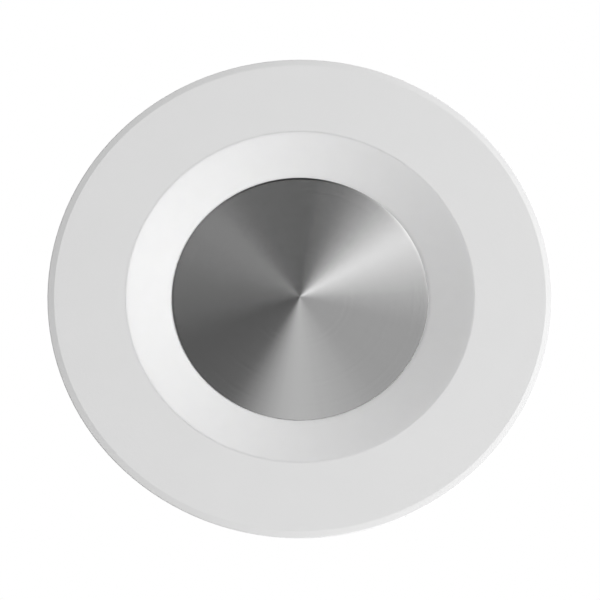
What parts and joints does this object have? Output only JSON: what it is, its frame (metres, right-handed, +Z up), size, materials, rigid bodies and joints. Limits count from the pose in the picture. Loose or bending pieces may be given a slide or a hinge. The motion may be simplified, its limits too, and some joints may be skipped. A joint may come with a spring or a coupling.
{
  "type": "recessed light",
  "caption": "Round recessed wall or soffit light: white trim, dished opal ring lit from behind by LEDs round a turned aluminium cap, finned body, rear driver case, cable gland and two sprung clips.",
  "frame": {"origin": "centre of the light on the wall plane, at the back face of the flange's gasket", "axes": "+Z up, +Y along the spigot into the wall; the light faces -Y"},
  "size_m": [0.09, 0.0709, 0.09],
  "materials": {
    "white_coat": "matt powder coat",
    "foam_rubber": "closed-cell foam",
    "opal_plastic": "opal",
    "turned_aluminium": "fine turned rings, satin",
    "cast_aluminium": "as cast, fine blasted",
    "zinc_steel": "zinc plated",
    "stainless_steel": "bright",
    "spring_steel": "drawn wire",
    "white_mask_board": "white solder mask",
    "led_package": "white package with yellow phosphor",
    "thermal_silicone": "soft",
    "seal_silicone": "smooth",
    "case_plastic": "fine spark-eroded texture",
    "gland_plastic": "satin nylon",
    "black_rubber": "smooth",
    "green_mask_board": "green solder mask",
    "ferrite": "sintered",
    "coil_tape": "yellow tape",
    "capacitor_sleeve": "shrink sleeve",
    "film_case": "moulded",
    "chip_epoxy": "moulded",
    "fuse_body": "moulded",
    "terminal_plastic": "moulded",
    "red_wire": "smooth",
    "black_wire": "smooth"
  },
  "bodies": {
    "housing": {"trim_ring": "white_coat", "wall_gasket": "foam_rubber", "diffuser_ring": "opal_plastic", "diffuser_seal": "seal_silicone", "front_cap": "turned_aluminium", "cap_stud": "stainless_steel", "cap_washer": "stainless_steel", "cap_nut": "stainless_steel", "led_board": "white_mask_board", "led_chips": "led_package", "thermal_pad": "thermal_silicone", "led_lead_red": "red_wire", "led_lead_black": "black_wire", "heat_sink": "cast_aluminium", "body_seal": "seal_silicone", "body_screws": "stainless_steel", "driver_case": "case_plastic", "case_screws": "stainless_steel", "driver_board": "green_mask_board", "board_screws": "stainless_steel", "transformer_core": "ferrite", "transformer_coil": "coil_tape", "bulk_capacitor": "capacitor_sleeve", "film_capacitor": "film_case", "rectifier": "chip_epoxy", "fuse": "fuse_body", "terminal_block": "terminal_plastic", "terminal_screws": "stainless_steel", "cover_gasket": "black_rubber", "rear_cover": "case_plastic", "cover_screws": "stainless_steel", "gland_washer": "black_rubber", "gland_body": "gland_plastic", "gland_locknut": "gland_plastic", "gland_seal": "black_rubber", "gland_nut": "gland_plastic", "clip_bracket_right": "zinc_steel", "bracket_screw_right": "stainless_steel", "clip_pin_right": "zinc_steel", "clip_spring_right": "spring_steel", "clip_bracket_left": "zinc_steel", "bracket_screw_left": "stainless_steel", "clip_pin_left": "zinc_steel", "clip_spring_left": "spring_steel"},
    "clip_right": {"clip_arm_right": "zinc_steel", "clip_tip_right": "black_rubber"},
    "clip_left": {"clip_arm_left": "zinc_steel", "clip_tip_left": "black_rubber"}
  },
  "joints": [
    {"name": "clip_right_hinge", "type": "hinge", "parent": "housing", "child": "clip_right", "pos_m": [0.0298, 0.01605, 0], "axis": [0, 0, 1], "range_deg": [0, 135], "stiffness_Nm_per_rad": 0.04, "springref_deg": -34.38, "deforming": ["clip_spring_right"]},
    {"name": "clip_left_hinge", "type": "hinge", "parent": "housing", "child": "clip_left", "pos_m": [-0.0298, 0.01605, 0], "axis": [0, 0, -1], "range_deg": [0, 135], "stiffness_Nm_per_rad": 0.04, "springref_deg": -34.38, "deforming": ["clip_spring_left"]}
  ]
}
